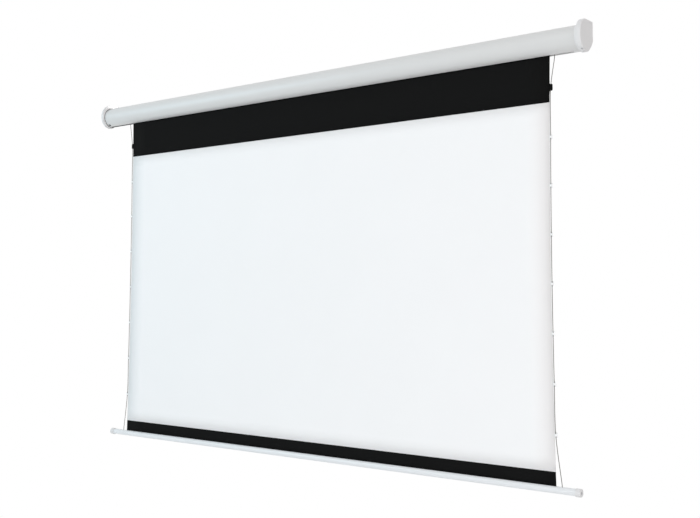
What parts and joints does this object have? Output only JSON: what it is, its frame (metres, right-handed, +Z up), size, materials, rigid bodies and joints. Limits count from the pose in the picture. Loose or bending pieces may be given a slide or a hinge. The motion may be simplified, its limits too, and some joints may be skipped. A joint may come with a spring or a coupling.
{
  "type": "motorized projection screen",
  "caption": "Motorized tab-tension projection screen, let down from a white D-section casing with moulded end caps, with a black-bordered white picture area and a round bottom bar.",
  "frame": {"origin": "on the casing's flat back, at mid height, on the picture's centre line", "axes": "+X runs to the right along the casing as seen by the viewers, -Y faces the viewers and +Y the wall, +Z is up"},
  "size_m": [2.5455, 0.101, 1.586],
  "materials": {
    "casing_white": "satin",
    "cap_white": "satin",
    "bar_white": "satin",
    "screen_white": "matte",
    "screen_black": "matte",
    "tab_strip": "matte",
    "tension_cord": "satin",
    "steel": "satin",
    "bare_aluminium": "satin",
    "dark_plastic": "satin",
    "brass": "satin",
    "winding_copper": "satin",
    "circuit_board": "satin",
    "nylon": "satin"
  },
  "bodies": {
    "casing": {"casing_shell": "casing_white", "end_cap_left": "cap_white", "end_cap_right": "cap_white", "motor_bracket": "steel", "idler_bracket": "steel", "cap_screw_left_front": "steel", "cap_screw_left_rear": "steel", "cap_screw_right_front": "steel", "cap_screw_right_rear": "steel", "motor_head": "dark_plastic", "motor_tube": "steel", "run_capacitor": "dark_plastic", "motor_brake": "steel", "rear_end_bell": "bare_aluminium", "stator": "winding_copper", "front_end_bell": "bare_aluminium", "ring_gear": "steel", "output_bearing": "brass", "idler_pin": "steel", "black_top_drop": "screen_black", "white_surface": "screen_white", "black_bottom_border": "screen_black", "edge_strip_left": "tab_strip", "edge_strip_right": "tab_strip", "black_tab_left": "screen_black", "black_tab_right": "screen_black", "tension_cord_left": "tension_cord", "tension_cord_right": "tension_cord", "control_box": "dark_plastic", "control_board": "circuit_board", "control_box_lid": "dark_plastic", "power_inlet": "dark_plastic", "supply_lead": "dark_plastic", "motor_lead": "dark_plastic"},
    "roller": {"roller_tube": "bare_aluminium", "crown_ring": "nylon", "drive_wheel": "dark_plastic", "planet_carrier": "steel", "idler_plug": "dark_plastic", "idler_bearing": "brass", "fabric_roll": "screen_black", "cord_clamp_left": "steel", "cord_clamp_right": "steel"},
    "rotor": {"rotor": "steel"},
    "planet_1": {"planet_gear_1": "steel"},
    "planet_2": {"planet_gear_2": "steel"},
    "planet_3": {"planet_gear_3": "steel"},
    "limit_up": {"limit_screw_up": "brass"},
    "limit_down": {"limit_screw_down": "brass"},
    "bar": {"bar_tube": "bar_white", "bar_cap_left": "cap_white", "bar_cap_right": "cap_white", "hem_rod": "steel"},
    "tension_left": {"tension_screw_left": "steel"},
    "tension_right": {"tension_screw_right": "steel"},
    "block_left": {"cord_block_left": "nylon"},
    "block_right": {"cord_block_right": "nylon"}
  },
  "joints": [
    {"name": "roller_spin", "type": "hinge", "parent": "casing", "child": "roller", "pos_m": [0, -0.02835, 0], "axis": [-1, 0, 0], "range_deg": [0, 3708]},
    {"name": "bar_lift", "type": "slide", "parent": "casing", "child": "bar", "axis": [0, 0, 1], "range_m": [0, 1.447], "deforming": ["black_top_drop", "white_surface", "black_bottom_border", "edge_strip_left", "edge_strip_right", "black_tab_left", "black_tab_right", "tension_cord_left", "tension_cord_right"]},
    {"name": "rotor_spin", "type": "hinge", "parent": "casing", "child": "rotor", "pos_m": [-1.05, -0.02835, 0], "axis": [-1, 0, 0], "range_deg": [0, 17304]},
    {"name": "planet_1_spin", "type": "hinge", "parent": "roller", "child": "planet_1", "pos_m": [-0.9719, -0.01995, 0], "axis": [-1, 0, 0], "range_deg": [-10197, 0]},
    {"name": "planet_2_spin", "type": "hinge", "parent": "roller", "child": "planet_2", "pos_m": [-0.9719, -0.03255, 0.00727], "axis": [-1, 0, 0], "range_deg": [-10197, 0]},
    {"name": "planet_3_spin", "type": "hinge", "parent": "roller", "child": "planet_3", "pos_m": [-0.9719, -0.03255, -0.00727], "axis": [-1, 0, 0], "range_deg": [-10197, 0]},
    {"name": "limit_up_turn", "type": "hinge", "parent": "casing", "child": "limit_up", "pos_m": [-1.264, -0.02835, 0], "axis": [0, -0.1377, -0.9905], "continuous": true},
    {"name": "limit_down_turn", "type": "hinge", "parent": "casing", "child": "limit_down", "pos_m": [-1.264, -0.02835, 0], "axis": [0, -0.7311, -0.6823], "continuous": true},
    {"name": "tension_left_turn", "type": "hinge", "parent": "bar", "child": "tension_left", "pos_m": [-1.18, -0.05, -1.51], "axis": [-1, 0, 0], "range_deg": [-2160, 2160]},
    {"name": "cord_block_left_slide", "type": "slide", "parent": "bar", "child": "block_left", "axis": [-1, 0, 0], "range_m": [-0.00601, 0.00601]},
    {"name": "tension_right_turn", "type": "hinge", "parent": "bar", "child": "tension_right", "pos_m": [1.18, -0.05, -1.51], "axis": [1, 0, 0], "range_deg": [-2160, 2160]},
    {"name": "cord_block_right_slide", "type": "slide", "parent": "bar", "child": "block_right", "axis": [1, 0, 0], "range_m": [-0.00601, 0.00601]}
  ],
  "couplings": [
    {"joint": "bar_lift", "follows": "roller_spin", "m_per_rad": 0.02235},
    {"joint": "rotor_spin", "follows": "roller_spin", "ratio": 4.6667},
    {"joint": "planet_1_spin", "follows": "roller_spin", "ratio": -2.75},
    {"joint": "planet_2_spin", "follows": "roller_spin", "ratio": -2.75},
    {"joint": "planet_3_spin", "follows": "roller_spin", "ratio": -2.75},
    {"joint": "cord_block_left_slide", "follows": "tension_left_turn", "m_per_rad": 0.00015915},
    {"joint": "cord_block_right_slide", "follows": "tension_right_turn", "m_per_rad": 0.00015915}
  ]
}
